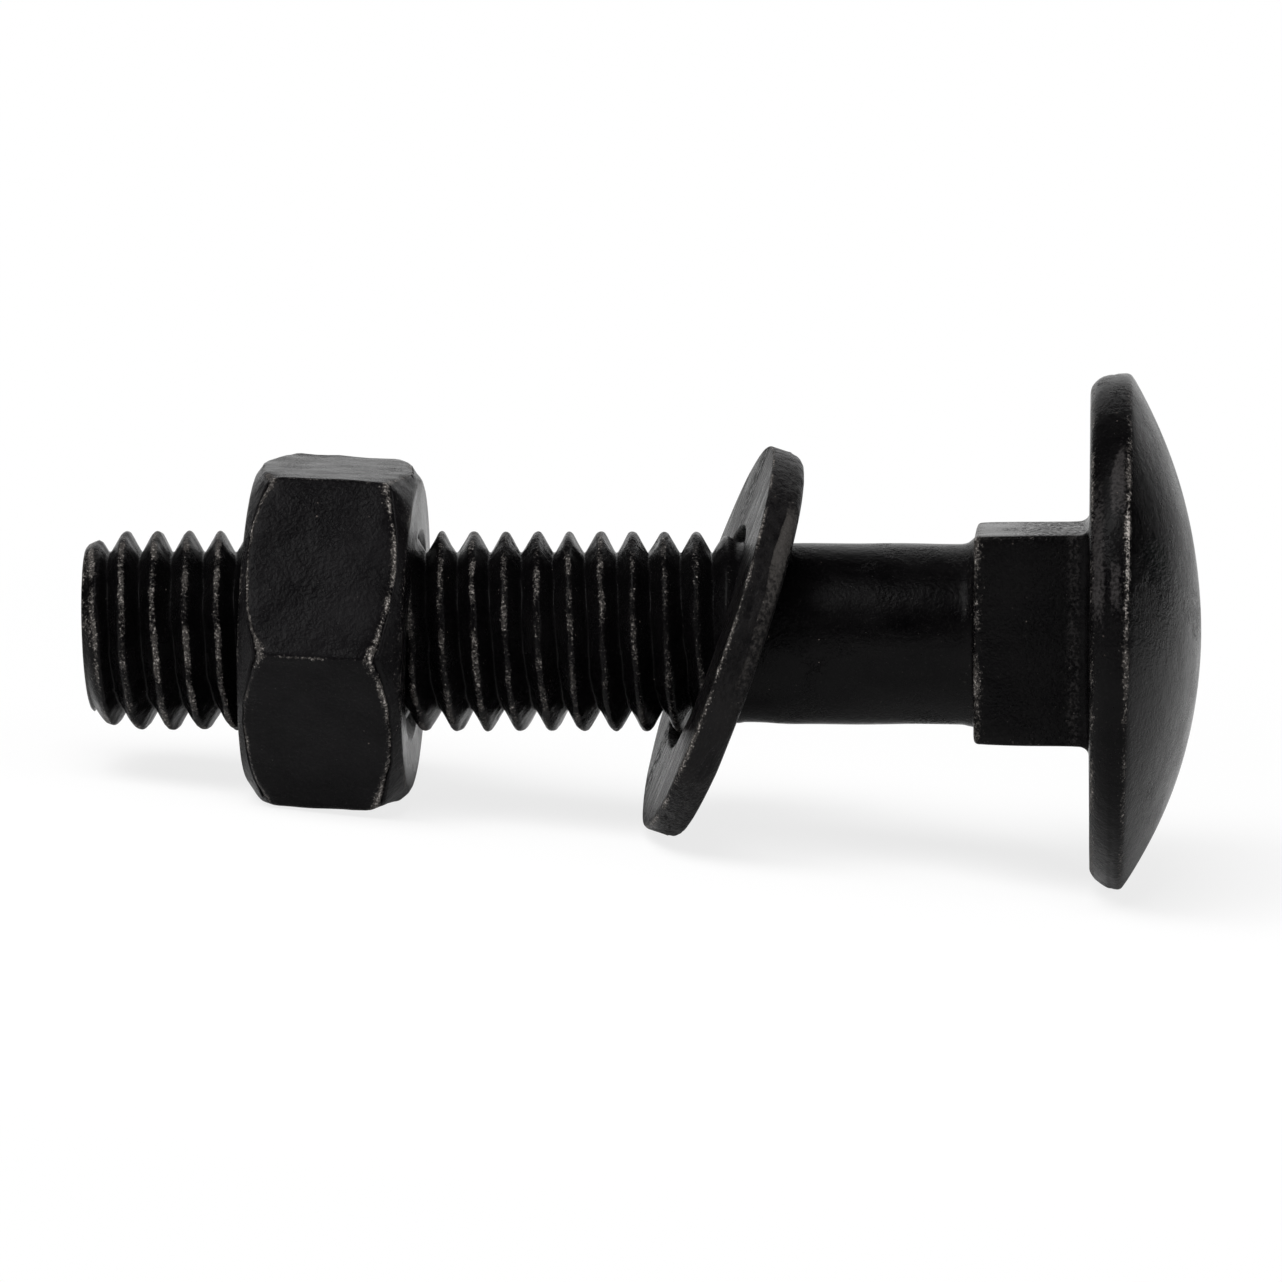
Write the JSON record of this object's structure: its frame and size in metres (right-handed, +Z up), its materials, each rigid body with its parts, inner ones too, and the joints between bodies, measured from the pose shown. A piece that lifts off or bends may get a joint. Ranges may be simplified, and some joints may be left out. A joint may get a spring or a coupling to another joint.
{
  "type": "carriage bolt",
  "caption": "Black steel carriage bolt with a domed head and a square neck, carrying its hex nut and a loose flat washer.",
  "frame": {"origin": "middle of the seat under the head, on the bolt's axis", "axes": "+Z up from the floor that the bolt lies on; the bolt runs along X, head towards +X, and its axis drops towards the tip by 6.33 degrees"},
  "size_m": [0.044, 0.02, 0.02],
  "materials": {
    "bolt_steel": "black oxide, satin, with worn ridges",
    "washer_steel": "black oxide, satin, streaked",
    "nut_steel": "black oxide, satin, with worn corners"
  },
  "bodies": {
    "bolt": {"bolt": "bolt_steel"},
    "washer": {"washer": "washer_steel"},
    "nut": {"nut": "nut_steel"}
  },
  "joints": [
    {"name": "nut_turn", "type": "hinge", "parent": "bolt", "child": "washer", "pos_m": [0, 0, 0], "axis": [0.9939, 0, 0.1103], "range_deg": [-3960, 2610]},
    {"name": "nut_travel", "type": "slide", "parent": "washer", "child": "nut", "axis": [0.9939, 0, 0.1103], "range_m": [-0.01375, 0.00906]}
  ],
  "couplings": [
    {"joint": "nut_travel", "follows": "nut_turn", "m_per_rad": 0.00019894}
  ]
}
